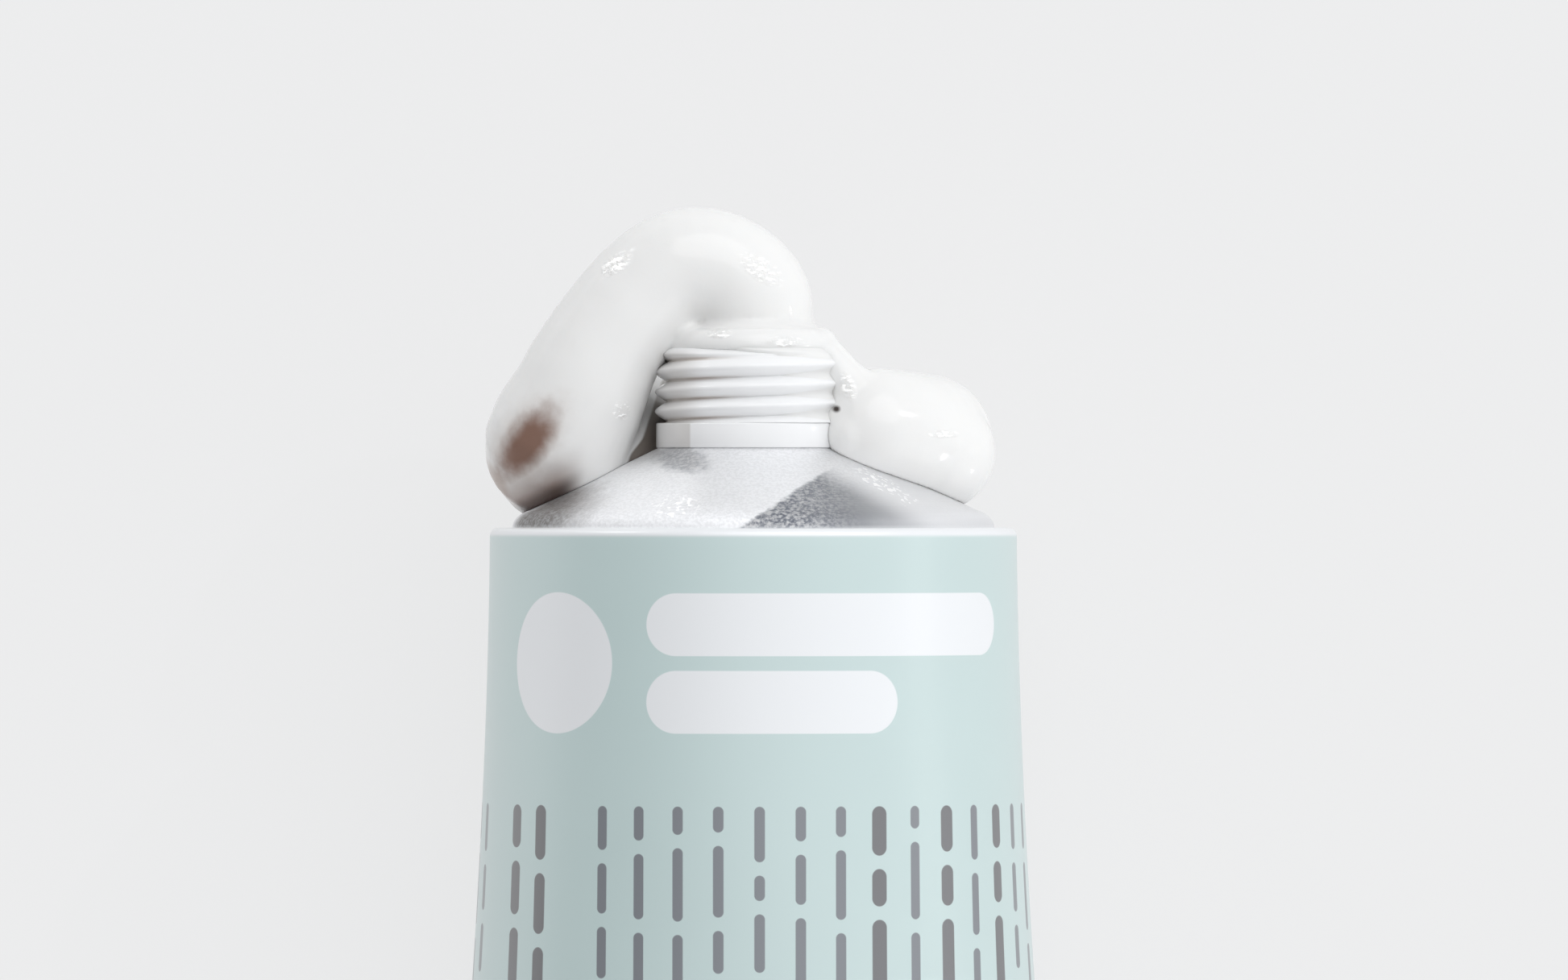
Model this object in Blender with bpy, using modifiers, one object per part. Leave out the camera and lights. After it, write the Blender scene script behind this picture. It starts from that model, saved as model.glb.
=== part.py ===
# Squeezed metal toothpaste tube, lying on its back with its printed front up.
# Everything is modelled in the tube's own frame: X to the right, Y up the tube's
# axis towards the nozzle, Z towards the printed front, with the origin in the
# middle of the rim. One empty then lays that frame on the ground.

import math

import bmesh
import bpy
from mathutils import Matrix, Vector, geometry

MM = 0.001

# Sleeve: the drawn aluminium body between the rim and the folded end
BODY_RADIUS = 20.0 * MM
SLEEVE_LENGTH = 150.0 * MM
WALL = 0.15 * MM
TAIL_THICKNESS = 0.4 * MM  # the sleeve where it is pressed flat, just before the fold
FRONT_FULLNESS = 2.5  # a higher value keeps the front round for longer
FRONT_TAPER = 1.3
BACK_SQUARENESS = 1.1  # how much squarer than a circle the back becomes where it lies flat
TAIL_SQUARENESS = 2.0
SLEEVE_SECTIONS = 15
THUMB_DENTS = (  # side, distance below the rim, half width, half length, depth
    (5.0 * MM, 92.0 * MM, 13.0 * MM, 12.0 * MM, 2.4 * MM),
    (-10.0 * MM, 113.0 * MM, 12.0 * MM, 10.0 * MM, 1.4 * MM),
)

# Folded end
FOLD_WIDTH = 5.0 * MM
FOLD_LAYERS = 6
FOLD_SLACK = 0.2 * MM
FOLD_LAP = 1.2 * MM  # how far the fold's solid reaches back over the sleeve

# Head of the tube
RIM_ROUND = 0.6 * MM
RIM_LAND = 1.1 * MM
KNUCKLE_WIDTH = 1.4 * MM
KNUCKLE_RISE = 1.37 * MM
KNUCKLE_SWEEP = math.radians(65.0)
SHOULDER_ANGLE = math.radians(25.9)
NECK_RADIUS = 5.4 * MM
NECK_HEIGHT = 4.0 * MM

# Nozzle
FIT_GAP = 0.3 * MM  # clearance between pieces that touch
COLLAR_RADIUS = 7.3 * MM
COLLAR_HEIGHT = 1.93 * MM
COLLAR_ROUND = 0.2 * MM
THREAD_RADIUS = 7.28 * MM
THREAD_DEPTH = 0.83 * MM
THREAD_PITCH = 1.5 * MM
THREAD_TURNS = 3.1
THREAD_CREST = 0.25 * MM
THREAD_BITE = 0.3 * MM  # how deep the thread's root sits in the nozzle's wall
THREAD_RUN_OUT = 0.3  # turns over which the thread rises from the wall
THREAD_START = math.radians(-140.0)
THREADED_LENGTH = 5.3 * MM
LIP_RADIUS = 6.2 * MM
LIP_LENGTH = 1.95 * MM
LIP_CHAMFER = 0.45 * MM
ORIFICE_RADIUS = 4.35 * MM

# Toothpaste
FILL_LENGTH = 128.0 * MM  # how far below the rim the paste still reaches
FILL_EDGE_GAP = 2.5 * MM  # it stays this far out of the sleeve's sharp side edges at the fold
SWELL_START = 0.45 * MM  # the bead in the orifice is this much thinner than the orifice
BEND_RADIUS = 4.5 * MM  # of the bead's middle where it topples over the lip
BEAD_RADIUS = 4.65 * MM  # once it is out of the orifice
BEAD_SWELL = 2.0 * MM  # length of bead over which it swells to that
BEAD_LEAN = 0.25 * MM  # the bead leaves the orifice a little to the right
BEAD_RISE = 0.05 * MM  # height above the lip at which it starts to bend
LEG_RADIUS = 6.0 * MM  # where the bead has settled on the shoulder
END_RADIUS = 4.9 * MM  # its free end
END_RUN = 6.0 * MM  # length of bead over which it narrows to that
SETTLE_FROM = 15.0 * MM  # length of bead over the lip after which it starts to fatten
SETTLE_RUN = 15.0 * MM
LEG_POINTS = (  # middle of the falling bead: side, height above the rim, towards the front
    (-11.2 * MM, 14.1 * MM, 1.0 * MM),
    (-13.3 * MM, 9.8 * MM, 0.4 * MM),
    (-14.6 * MM, 6.5 * MM, -1.8 * MM),
)
WRAP_RADIUS = 13.4 * MM  # round the nozzle, behind it
WRAP_SEAT = 3.1 * MM  # the bead's middle over the shoulder, square to it
WRAP_FROM = math.radians(207.0)
WRAP_TO = math.radians(345.0)
END_POINTS = (  # the free end, pressed against the thread on the right
    (12.9 * MM, 6.8 * MM, -1.5 * MM),
    (11.3 * MM, 7.0 * MM, 0.4 * MM),
    (9.5 * MM, 7.2 * MM, 1.3 * MM),
)
FOOT_MIDDLE = (14.0 * MM, 5.9 * MM, -1.0 * MM)  # where the free end has slumped on the shoulder
FOOT_RADIUS = 4.6 * MM
BEAD_STEP = 1.2 * MM
BEAD_VOXEL = 0.6 * MM
BEAD_KEPT = 0.1  # share of the remeshed bead's faces that is kept

SIDES = 44
NOZZLE_SIDES = 32
BEAD_SIDES_RESOLUTION = 6

# Sizes worked out from the ones above
ROOT_RADIUS = THREAD_RADIUS - THREAD_DEPTH
FOLD_THICKNESS = FOLD_LAYERS * WALL + FOLD_SLACK
TAIL_HALF = TAIL_THICKNESS / 2
BACK_RUN = SLEEVE_LENGTH - RIM_ROUND
CAVITY_LENGTH = SLEEVE_LENGTH - FOLD_WIDTH
LIE_ANGLE = math.atan2(BODY_RADIUS - TAIL_HALF, BACK_RUN)
KNUCKLE_TOP_RADIUS = BODY_RADIUS - RIM_ROUND - RIM_LAND - KNUCKLE_WIDTH


def shoulder_height(radius):
    return KNUCKLE_RISE + (KNUCKLE_TOP_RADIUS - radius) * math.tan(SHOULDER_ANGLE)


NECK_TOP = shoulder_height(NECK_RADIUS) + NECK_HEIGHT
COLLAR_BOTTOM = shoulder_height(COLLAR_RADIUS) + FIT_GAP / math.cos(SHOULDER_ANGLE)
COLLAR_TOP = shoulder_height(COLLAR_RADIUS) + COLLAR_HEIGHT
THREADED_TOP = COLLAR_TOP + THREADED_LENGTH
NOZZLE_TOP = THREADED_TOP + LIP_LENGTH


# Scene set-up

def clear_scene():
    for old in list(bpy.data.objects):
        bpy.data.objects.remove(old, do_unlink=True)


def new_collection(name):
    collection = bpy.data.collections.new(name)
    bpy.context.scene.collection.children.link(collection)
    return collection


def new_object(name, data, collection, parent):
    thing = bpy.data.objects.new(name, data)
    collection.objects.link(thing)
    thing.parent = parent
    return thing


def as_helper(thing):
    thing.hide_render = True
    thing.display_type = "WIRE"
    return thing


def principled(name, color, roughness, metallic):
    material = bpy.data.materials.new(name)
    material.use_nodes = True
    shader = material.node_tree.nodes["Principled BSDF"]
    shader.inputs["Base Color"].default_value = (*color, 1.0)
    shader.inputs["Roughness"].default_value = roughness
    shader.inputs["Metallic"].default_value = metallic
    return material


# Mesh helpers

def outward(bm):
    bmesh.ops.recalc_face_normals(bm, faces=bm.faces[:])


def mesh_from(bm, name):
    mesh = bpy.data.meshes.new(name)
    bm.to_mesh(mesh)
    bm.free()
    return mesh


def loft(name, rings):
    """A closed skin over rings that have the same number of points each."""
    bm = bmesh.new()
    rows = [[bm.verts.new(point) for point in ring] for ring in rings]
    for low, high in zip(rows, rows[1:]):
        for i, corner in enumerate(low):
            j = (i + 1) % len(low)
            bm.faces.new((corner, low[j], high[j], high[i]))
    bm.faces.new(rows[0])
    bm.faces.new(rows[-1])
    outward(bm)
    return mesh_from(bm, name)


def turned(name, profile, collection, parent, sides):
    """A closed profile of (radius, height) turned about Y."""
    bm = bmesh.new()
    loop = [bm.verts.new((radius, height, 0.0)) for radius, height in profile]
    for i, corner in enumerate(loop):
        bm.edges.new((corner, loop[(i + 1) % len(loop)]))
    thing = new_object(name, mesh_from(bm, name), collection, parent)
    screw = thing.modifiers.new("Turn", "SCREW")
    screw.axis = "Y"
    screw.steps = sides
    screw.render_steps = sides
    screw.use_merge_vertices = True
    screw.merge_threshold = 0.00001
    return thing


def boolean(thing, other, operation):
    modifier = thing.modifiers.new(operation.title(), "BOOLEAN")
    modifier.operation = operation
    modifier.solver = "EXACT"
    modifier.object = other


def evaluated_mesh(thing):
    graph = bpy.context.evaluated_depsgraph_get()
    return bpy.data.meshes.new_from_object(thing.evaluated_get(graph))


def smooth(thing, degrees):
    thing.data.shade_smooth()
    thing.data.set_sharp_from_angle(angle=math.radians(degrees))


# Shape of the sleeve

def half_section(width, depth, squareness, start):
    points = []
    for i in range(SIDES // 2):
        angle = start + 2 * math.pi * i / SIDES
        across = math.cos(angle)
        along = math.sin(angle)
        x = math.copysign(abs(across) ** (2 / squareness), across) * width
        z = math.copysign(abs(along) ** (2 / squareness), along) * depth
        points.append((x, z))
    return points


def section(width, front, back, front_square, back_square):
    return half_section(width, front, front_square, 0.0) + half_section(
        width, back, back_square, math.pi
    )


def girth(points):
    return sum(math.dist(a, b) for a, b in zip(points, points[1:] + points[:1]))


def sleeve_shape(down):
    """Half width, front and back depth and squareness of the sleeve at a distance below the rim."""
    share = (down - RIM_ROUND) / BACK_RUN
    front = TAIL_HALF + (BODY_RADIUS - TAIL_HALF) * (1 - share**FRONT_FULLNESS) ** FRONT_TAPER
    back = BODY_RADIUS - (BODY_RADIUS - TAIL_HALF) * share
    front_square = 2 + TAIL_SQUARENESS * share**6
    back_square = front_square + BACK_SQUARENESS * 4 * share * (1 - share)
    whole = girth(section(BODY_RADIUS, BODY_RADIUS, BODY_RADIUS, 2, 2))
    low, high = BODY_RADIUS / 2, BODY_RADIUS * 2
    for _ in range(40):
        width = (low + high) / 2
        if girth(section(width, front, back, front_square, back_square)) < whole:
            low = width
        else:
            high = width
    return width, front, back, front_square, back_square


def dent_depth(x, down):
    total = 0.0
    for side, place, half_width, half_length, depth in THUMB_DENTS:
        far = ((x - side) / half_width) ** 2 + ((down - place) / half_length) ** 2
        total += depth * math.exp(-far)
    return total


def sleeve_ring(down, inset, edge_gap):
    width, front, back, front_square, back_square = sleeve_shape(down)
    width -= edge_gap * (down - RIM_ROUND) / BACK_RUN
    ring = []
    for x, z in section(width - inset, front - inset, back - inset, front_square, back_square):
        if z > 0:
            z = max(z - dent_depth(x, down) * z / front, 0.0)
        ring.append((x, -down, z))
    return ring


def sleeve_rings(inset, end, edge_gap):
    """Rings down to a distance below the rim. Every skin has them in the same places, so their facets
    stay parallel."""
    places = {FILL_LENGTH, CAVITY_LENGTH}
    for i in range(1, SLEEVE_SECTIONS + 1):
        share = i / SLEEVE_SECTIONS
        places.add(RIM_ROUND + BACK_RUN * (1 - (1 - share) ** 1.25))
    return [sleeve_ring(down, inset, edge_gap) for down in sorted(places) if down <= end]


# Shape of the head

def head_profile():
    """Outer (radius, height) from the neck's base down to the end of the rim's round."""
    land_outer = BODY_RADIUS - RIM_ROUND
    land_inner = land_outer - RIM_LAND
    points = [(NECK_RADIUS, shoulder_height(NECK_RADIUS))]
    for i in (3, 2, 1):
        turn = KNUCKLE_SWEEP * i / 3
        inward = KNUCKLE_WIDTH * (1 - math.cos(turn)) / (1 - math.cos(KNUCKLE_SWEEP))
        points.append((land_inner - inward, KNUCKLE_RISE * math.sin(turn) / math.sin(KNUCKLE_SWEEP)))
    points += [(land_inner, 0.0), (land_outer, 0.0)]
    corner = math.radians(45)
    points.append((land_outer + RIM_ROUND * math.sin(corner), RIM_ROUND * (math.cos(corner) - 1)))
    points.append((BODY_RADIUS, -RIM_ROUND))
    return points


def inset_profile(points, inset):
    """The profile moved inwards, square to itself, with its corners mitred."""
    before = (points[0][0], points[0][1] + NECK_HEIGHT)
    after = (points[-1][0], points[-1][1] - RIM_ROUND)
    line = [Vector(p) for p in (before, *points, after)]
    moved = []
    for a, b, c in zip(line, line[1:], line[2:]):
        first = (b - a).normalized()
        second = (c - b).normalized()
        first_in = Vector((first.y, -first.x))
        second_in = Vector((second.y, -second.x))
        middle = (first_in + second_in).normalized()
        moved.append(b + middle * inset / middle.dot(first_in))
    return moved


def round_ring(radius, height):
    return [(x, height, z) for x, z in section(radius, radius, radius, 2, 2)]


def tube_rings(inset, top, end, edge_gap=0.0):
    rings = [round_ring(NECK_RADIUS - inset, top)]
    rings += [round_ring(radius, height) for radius, height in inset_profile(head_profile(), inset)]
    return rings + sleeve_rings(inset, end, edge_gap)


# Tube

def fold_outline():
    """Side view of the folded strip: a lip on the sleeve, and a round folded edge at its end."""
    half = FOLD_THICKNESS / 2
    lip = FOLD_THICKNESS / 4
    points = [(FOLD_LAP, 0.0), (FOLD_LAP, TAIL_HALF), (0.0, TAIL_THICKNESS)]
    points += [(0.0, FOLD_THICKNESS - lip), (-lip, FOLD_THICKNESS)]
    for i in range(7):
        turn = math.pi * i / 6
        points.append((-FOLD_WIDTH + half - half * math.sin(turn), half + half * math.cos(turn)))
    return points


def make_fold(collection, half_width):
    curve = bpy.data.curves.new("fold_outline", "CURVE")
    curve.dimensions = "2D"
    curve.fill_mode = "BOTH"
    curve.extrude = half_width
    spline = curve.splines.new("POLY")
    outline = fold_outline()
    spline.points.add(len(outline) - 1)
    for point, (along, up) in zip(spline.points, outline):
        point.co = (along, up, 0.0, 1.0)
    spline.use_cyclic_u = True
    drawn = new_object("fold_curve", curve, collection, None)
    mesh = evaluated_mesh(drawn)
    bpy.data.objects.remove(drawn)
    bm = bmesh.new()
    bm.from_mesh(mesh)
    bmesh.ops.remove_doubles(bm, verts=bm.verts[:], dist=0.000001)
    outward(bm)
    fold = as_helper(new_object("fold_strip", mesh_from(bm, "fold_strip"), collection, None))
    # The outline's plane is stood up: along becomes Y, up becomes Z.
    fold.rotation_euler = (math.pi / 2, 0.0, math.pi / 2)
    return fold


def make_tube(parts, cutters, lay, material):
    rings = tube_rings(0.0, NECK_TOP, SLEEVE_LENGTH)
    tube = new_object("tube", loft("tube", rings), parts, lay)
    cavity_rings = tube_rings(WALL, NECK_TOP + WALL, CAVITY_LENGTH)
    cavity = as_helper(new_object("cavity", loft("cavity", cavity_rings), cutters, lay))
    boolean(tube, cavity, "DIFFERENCE")
    fold = make_fold(cutters, sleeve_shape(SLEEVE_LENGTH)[0])
    fold.location = (0.0, tail_line(), 0.0)
    boolean(tube, fold, "UNION")
    tube.data.materials.append(material)
    smooth(tube, 30)
    return tube


# Nozzle

def thread_ring(angle, swell):
    """The thread's section at an angle round the nozzle, as wide as the pitch at its root."""
    height = COLLAR_TOP + THREAD_PITCH / 2 + THREAD_PITCH * (angle - THREAD_START) / (2 * math.pi)
    root = ROOT_RADIUS - THREAD_BITE
    crest = root + (THREAD_RADIUS - root) * swell
    half_root = THREAD_PITCH * 0.46
    ring = []
    for radius, rise in (
        (root, -half_root),
        (crest, -THREAD_CREST / 2),
        (crest, THREAD_CREST / 2),
        (root, half_root),
    ):
        ring.append((radius * math.sin(angle), height + rise, radius * math.cos(angle)))
    return ring


def make_nozzle(parts, cutters, lay, material):
    socket = NECK_RADIUS + FIT_GAP
    seat = NECK_TOP + FIT_GAP
    profile = [
        (ORIFICE_RADIUS, NOZZLE_TOP),
        (LIP_RADIUS - LIP_CHAMFER, NOZZLE_TOP),
        (LIP_RADIUS, NOZZLE_TOP - LIP_CHAMFER),
        (LIP_RADIUS, THREADED_TOP + LIP_CHAMFER),
        (ROOT_RADIUS, THREADED_TOP),
        (ROOT_RADIUS, COLLAR_TOP),
        (COLLAR_RADIUS - COLLAR_ROUND, COLLAR_TOP),
        (COLLAR_RADIUS, COLLAR_TOP - COLLAR_ROUND),
        (COLLAR_RADIUS, COLLAR_BOTTOM),
        (socket, COLLAR_BOTTOM + (COLLAR_RADIUS - socket) * math.tan(SHOULDER_ANGLE)),
        (socket, seat),
        (ORIFICE_RADIUS, seat),
    ]
    nozzle = turned("nozzle", profile, parts, lay, NOZZLE_SIDES)
    count = round(THREAD_TURNS * NOZZLE_SIDES)
    rings = []
    for i in range(count + 1):
        turns = THREAD_TURNS * i / count
        swell = min(1.0, turns / THREAD_RUN_OUT, (THREAD_TURNS - turns) / THREAD_RUN_OUT)
        rings.append(thread_ring(THREAD_START + 2 * math.pi * turns, 0.1 + 0.9 * swell))
    thread = as_helper(new_object("thread", loft("thread", rings), cutters, lay))
    boolean(nozzle, thread, "UNION")
    nozzle.data.materials.append(material)
    smooth(nozzle, 30)
    return nozzle


# Toothpaste

def bead_route():
    """Hand-set points and arcs that the bead's middle passes through, from the orifice to its end."""
    bend_middle = Vector((BEAD_LEAN - BEND_RADIUS, NOZZLE_TOP + BEAD_RISE, 0.0))
    route = [Vector((0.0, NECK_TOP, 0.0)), Vector((0.0, NOZZLE_TOP - BEAD_RADIUS / 2, 0.0))]
    for degrees in (0, 35, 70, 105, 140):
        turn = math.radians(degrees)
        route.append(bend_middle + BEND_RADIUS * Vector((math.cos(turn), math.sin(turn), 0.0)))
    route += [Vector(p) for p in LEG_POINTS]
    height = shoulder_height(WRAP_RADIUS) + WRAP_SEAT / math.cos(SHOULDER_ANGLE)
    for i in range(7):
        turn = WRAP_FROM + (WRAP_TO - WRAP_FROM) * i / 6
        route.append(Vector((WRAP_RADIUS * math.cos(turn), height, WRAP_RADIUS * math.sin(turn))))
    return route + [Vector(p) for p in END_POINTS]


def smooth_line(points):
    """Points about BEAD_STEP apart on a smooth curve through the given ones."""
    line = []
    for i in range(len(points) - 1):
        before = points[max(i - 1, 0)]
        after = points[min(i + 2, len(points) - 1)]
        a, b = points[i], points[i + 1]
        reach = (b - a).length / 3
        out = a + (b - before).normalized() * reach
        back = b - (after - a).normalized() * reach
        count = max(2, round((b - a).length / BEAD_STEP) + 1)
        line += geometry.interpolate_bezier(a, out, back, b, count)[:-1]
    return line + [points[-1]]


def eased(share):
    share = min(1.0, max(0.0, share))
    return share * share * (3.0 - 2.0 * share)


def bead_radius(out, left):
    """Thin in the orifice, full just over the lip, fatter where it has settled and less so at its end."""
    start = ORIFICE_RADIUS - SWELL_START
    swollen = start + (BEAD_RADIUS - start) * min(1.0, max(0.0, out / BEAD_SWELL))
    settled = swollen + (LEG_RADIUS - BEAD_RADIUS) * eased((out - SETTLE_FROM) / SETTLE_RUN)
    return END_RADIUS + (settled - END_RADIUS) * min(1.0, left / END_RUN)


def make_bead(cutters, lay):
    line = smooth_line(bead_route())
    out = [NECK_TOP - NOZZLE_TOP]
    for a, b in zip(line, line[1:]):
        out.append(out[-1] + (b - a).length)
    curve = bpy.data.curves.new("bead", "CURVE")
    curve.dimensions = "3D"
    curve.bevel_depth = BEAD_RADIUS
    curve.bevel_resolution = BEAD_SIDES_RESOLUTION
    curve.use_fill_caps = True
    spline = curve.splines.new("POLY")
    spline.points.add(len(line) - 1)
    for knot, point, over_lip in zip(spline.points, line, out):
        knot.co = (*point, 1.0)
        knot.radius = bead_radius(over_lip, out[-1] - over_lip) / BEAD_RADIUS
    drawn = new_object("bead_curve", curve, cutters, None)
    mesh = evaluated_mesh(drawn)
    bpy.data.objects.remove(drawn)
    bm = bmesh.new()
    bm.from_mesh(mesh)
    bmesh.ops.remove_doubles(bm, verts=bm.verts[:], dist=0.000001)
    for middle, radius in ((line[-1], END_RADIUS), (FOOT_MIDDLE, FOOT_RADIUS)):
        place = Matrix.Translation(middle)
        bmesh.ops.create_uvsphere(bm, u_segments=24, v_segments=16, radius=radius, matrix=place)
    bead = as_helper(new_object("bead", mesh_from(bm, "bead"), cutters, lay))
    remesh = bead.modifiers.new("Merge", "REMESH")
    remesh.mode = "VOXEL"
    remesh.voxel_size = BEAD_VOXEL
    fewer = bead.modifiers.new("Fewer", "DECIMATE")
    fewer.ratio = BEAD_KEPT
    return bead


def make_keep_out(cutters, lay):
    """The space of the nozzle and shoulder with a clearance round them, which the bead moulds itself to."""
    inner = ORIFICE_RADIUS - FIT_GAP
    lift = FIT_GAP / math.cos(SHOULDER_ANGLE)
    outside = max(COLLAR_RADIUS, THREAD_RADIUS) + FIT_GAP
    profile = [
        (inner, NOZZLE_TOP + FIT_GAP),
        (LIP_RADIUS, NOZZLE_TOP + FIT_GAP),
        (LIP_RADIUS + FIT_GAP, NOZZLE_TOP - LIP_CHAMFER),
        (outside, THREADED_TOP),
        (outside, shoulder_height(outside) + lift),
        (KNUCKLE_TOP_RADIUS + FIT_GAP, KNUCKLE_RISE + FIT_GAP),
        (BODY_RADIUS - RIM_ROUND, FIT_GAP * 2),
        (BODY_RADIUS * 1.5, FIT_GAP * 2),
        (BODY_RADIUS * 1.5, -BODY_RADIUS),
        (inner, -BODY_RADIUS),
    ]
    return as_helper(turned("keep_out", profile, cutters, lay, SIDES))


def make_toothpaste(parts, cutters, lay, material):
    inset = WALL + FIT_GAP
    column = ORIFICE_RADIUS - FIT_GAP
    step = NECK_TOP - FIT_GAP
    rings = [round_ring(column, NOZZLE_TOP - LIP_LENGTH), round_ring(column, step)]
    rings += tube_rings(inset, step, FILL_LENGTH, FILL_EDGE_GAP)
    toothpaste = new_object("toothpaste", loft("toothpaste", rings), parts, lay)
    bead = make_bead(cutters, lay)
    boolean(bead, make_keep_out(cutters, lay), "DIFFERENCE")
    boolean(toothpaste, bead, "UNION")
    toothpaste.data.materials.append(material)
    smooth(toothpaste, 40)
    return toothpaste


# Lying on the ground

def tail_line():
    """Y of the sleeve's flat end on the ground, before the whole is centred."""
    return -SLEEVE_LENGTH * math.cos(LIE_ANGLE) + TAIL_HALF * math.sin(LIE_ANGLE)


def centre_on_origin(things, movers):
    """Moves the part along Y until its box is centred over the origin."""
    graph = bpy.context.evaluated_depsgraph_get()
    reach = []
    for thing in things:
        final = thing.evaluated_get(graph)
        reach += [(final.matrix_world @ vertex.co).y for vertex in final.data.vertices]
    shift = -(min(reach) + max(reach)) / 2
    for mover in movers:
        mover.location.y += shift


def main():
    clear_scene()
    parts = new_collection("squeezed_toothpaste_tube")
    cutters = new_collection("cutters")
    lay = new_object("tube_frame", None, parts, None)
    lay.rotation_euler = (LIE_ANGLE, 0.0, 0.0)
    lay.location.z = BODY_RADIUS * math.cos(LIE_ANGLE) + RIM_ROUND * math.sin(LIE_ANGLE)
    enamel = principled("mint_enamel", (0.58, 0.69, 0.68), 0.35, 0.0)
    plastic = principled("white_plastic", (0.84, 0.85, 0.86), 0.2, 0.0)
    paste = principled("white_paste", (0.88, 0.88, 0.87), 0.15, 0.0)
    tube = make_tube(parts, cutters, lay, enamel)
    nozzle = make_nozzle(parts, cutters, lay, plastic)
    toothpaste = make_toothpaste(parts, cutters, lay, paste)
    bpy.context.view_layer.update()
    centre_on_origin([tube, nozzle, toothpaste], [lay, bpy.data.objects["fold_strip"]])


main()
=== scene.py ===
import bpy
import bmesh
import math
import numpy as np
from mathutils import Matrix, Vector, geometry, noise


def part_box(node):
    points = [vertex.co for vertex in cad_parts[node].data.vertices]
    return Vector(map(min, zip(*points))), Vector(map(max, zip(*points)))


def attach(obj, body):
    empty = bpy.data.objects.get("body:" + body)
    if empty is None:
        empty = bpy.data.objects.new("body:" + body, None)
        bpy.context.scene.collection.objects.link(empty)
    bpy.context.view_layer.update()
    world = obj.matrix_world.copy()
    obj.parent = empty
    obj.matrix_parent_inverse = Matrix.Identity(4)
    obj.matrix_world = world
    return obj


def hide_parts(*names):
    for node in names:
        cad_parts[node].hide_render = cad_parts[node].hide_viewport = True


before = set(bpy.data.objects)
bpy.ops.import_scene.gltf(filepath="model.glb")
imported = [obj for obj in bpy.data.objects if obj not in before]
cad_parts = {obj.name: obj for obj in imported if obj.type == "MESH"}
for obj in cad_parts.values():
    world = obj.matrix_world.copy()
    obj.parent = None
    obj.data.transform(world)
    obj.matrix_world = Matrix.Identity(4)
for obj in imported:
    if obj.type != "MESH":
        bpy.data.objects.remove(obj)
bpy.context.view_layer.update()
mm = 0.001
hair = 0.001 * mm  # corners nearer than this are one
print("frame loaded:", sorted(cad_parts))


def inMm(*values):
    return tuple(value * mm for value in values)


# Where the tube lies: X right, Y up its axis from the middle of the rim, Z to its printed front

lie = {
    "bodyRadius": 20.0 * mm,
    "sleeveLength": 150.0 * mm,
    "rimRound": 0.6 * mm,
    "tailThickness": 0.4 * mm,
    "foldWidth": 5.0 * mm,
}
tailHalf = lie["tailThickness"] / 2


def placeTubeFrame():
    angle = math.atan2(lie["bodyRadius"] - tailHalf, lie["sleeveLength"] - lie["rimRound"])
    tailLine = tailHalf * math.sin(angle) - lie["sleeveLength"] * math.cos(angle)
    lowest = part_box("tube")[0]
    alongGround = lowest.y + lie["foldWidth"] - tailLine
    height = lie["bodyRadius"] * math.cos(angle) + lie["rimRound"] * math.sin(angle)
    return angle, Vector((0.0, alongGround, height))


lieAngle, rimMiddle = placeTubeFrame()
toWorld = Matrix.Translation(rimMiddle) @ Matrix.Rotation(lieAngle, 4, "X")
print("tube frame placed, lying at", round(math.degrees(lieAngle), 2), "degrees")


# Material helpers

def newMaterial(name):
    material = bpy.data.materials.new(name)
    material.use_nodes = True
    return material, material.node_tree, material.node_tree.nodes["Principled BSDF"]


def setInputs(tree, node, values):
    # a socket is linked, and anything else is written in
    for name, value in values.items():
        if isinstance(value, bpy.types.NodeSocket):
            tree.links.new(value, node.inputs[name])
        else:
            node.inputs[name].default_value = value


def mathNode(tree, operation, first, second=None, third=None):
    node = tree.nodes.new("ShaderNodeMath")
    node.operation = operation
    for socket, value in zip(node.inputs, (first, second, third)):
        if value is None:
            continue
        if isinstance(value, (int, float)):
            socket.default_value = value
        else:
            tree.links.new(value, socket)
    return node.outputs[0]


def product(tree, first, *others):
    for other in others:
        first = mathNode(tree, "MULTIPLY", first, other)
    return first


def minus(tree, first, second):
    return mathNode(tree, "SUBTRACT", first, second)


def scaled(tree, value, factor, added):
    return mathNode(tree, "MULTIPLY_ADD", value, factor, added)


def lengthOf(tree, first, second):
    squares = [product(tree, side, side) for side in (first, second)]
    return mathNode(tree, "SQRT", mathNode(tree, "ADD", *squares))


def largest(tree, masks):
    total = masks[0]
    for mask in masks[1:]:
        total = mathNode(tree, "MAXIMUM", total, mask)
    return total


def toned(color, factor):
    return tuple(c * factor for c in color)


def mixColor(tree, factor, first, second):
    node = tree.nodes.new("ShaderNodeMix")
    node.data_type = "RGBA"
    first, second = ((*side, 1) if isinstance(side, tuple) else side for side in (first, second))
    setInputs(tree, node, {"Factor": factor, "A": first, "B": second})
    return node.outputs["Result"]


def fade(tree, value, low, high):
    node = tree.nodes.new("ShaderNodeMapRange")
    node.interpolation_type = "SMOOTHSTEP"
    setInputs(tree, node, {"Value": value, "From Min": low, "From Max": high})
    return node.outputs["Result"]


def noiseNode(tree, vector, scale, detail, roughness=0.5):
    node = tree.nodes.new("ShaderNodeTexNoise")
    setInputs(tree, node, {"Vector": vector, "Scale": scale, "Detail": detail, "Roughness": roughness})
    return node.outputs["Fac"]


def tubePlace(tree):
    coordinates = tree.nodes.new("ShaderNodeTexCoord")
    place = tree.nodes.new("ShaderNodeMapping")
    place.vector_type = "TEXTURE"
    turn = (lieAngle, 0, 0)
    setInputs(tree, place, {"Vector": coordinates.outputs["Object"], "Location": rimMiddle, "Rotation": turn})
    return place.outputs["Vector"]


def splitVector(tree, vector):
    node = tree.nodes.new("ShaderNodeSeparateXYZ")
    tree.links.new(vector, node.inputs[0])
    return node.outputs


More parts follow.
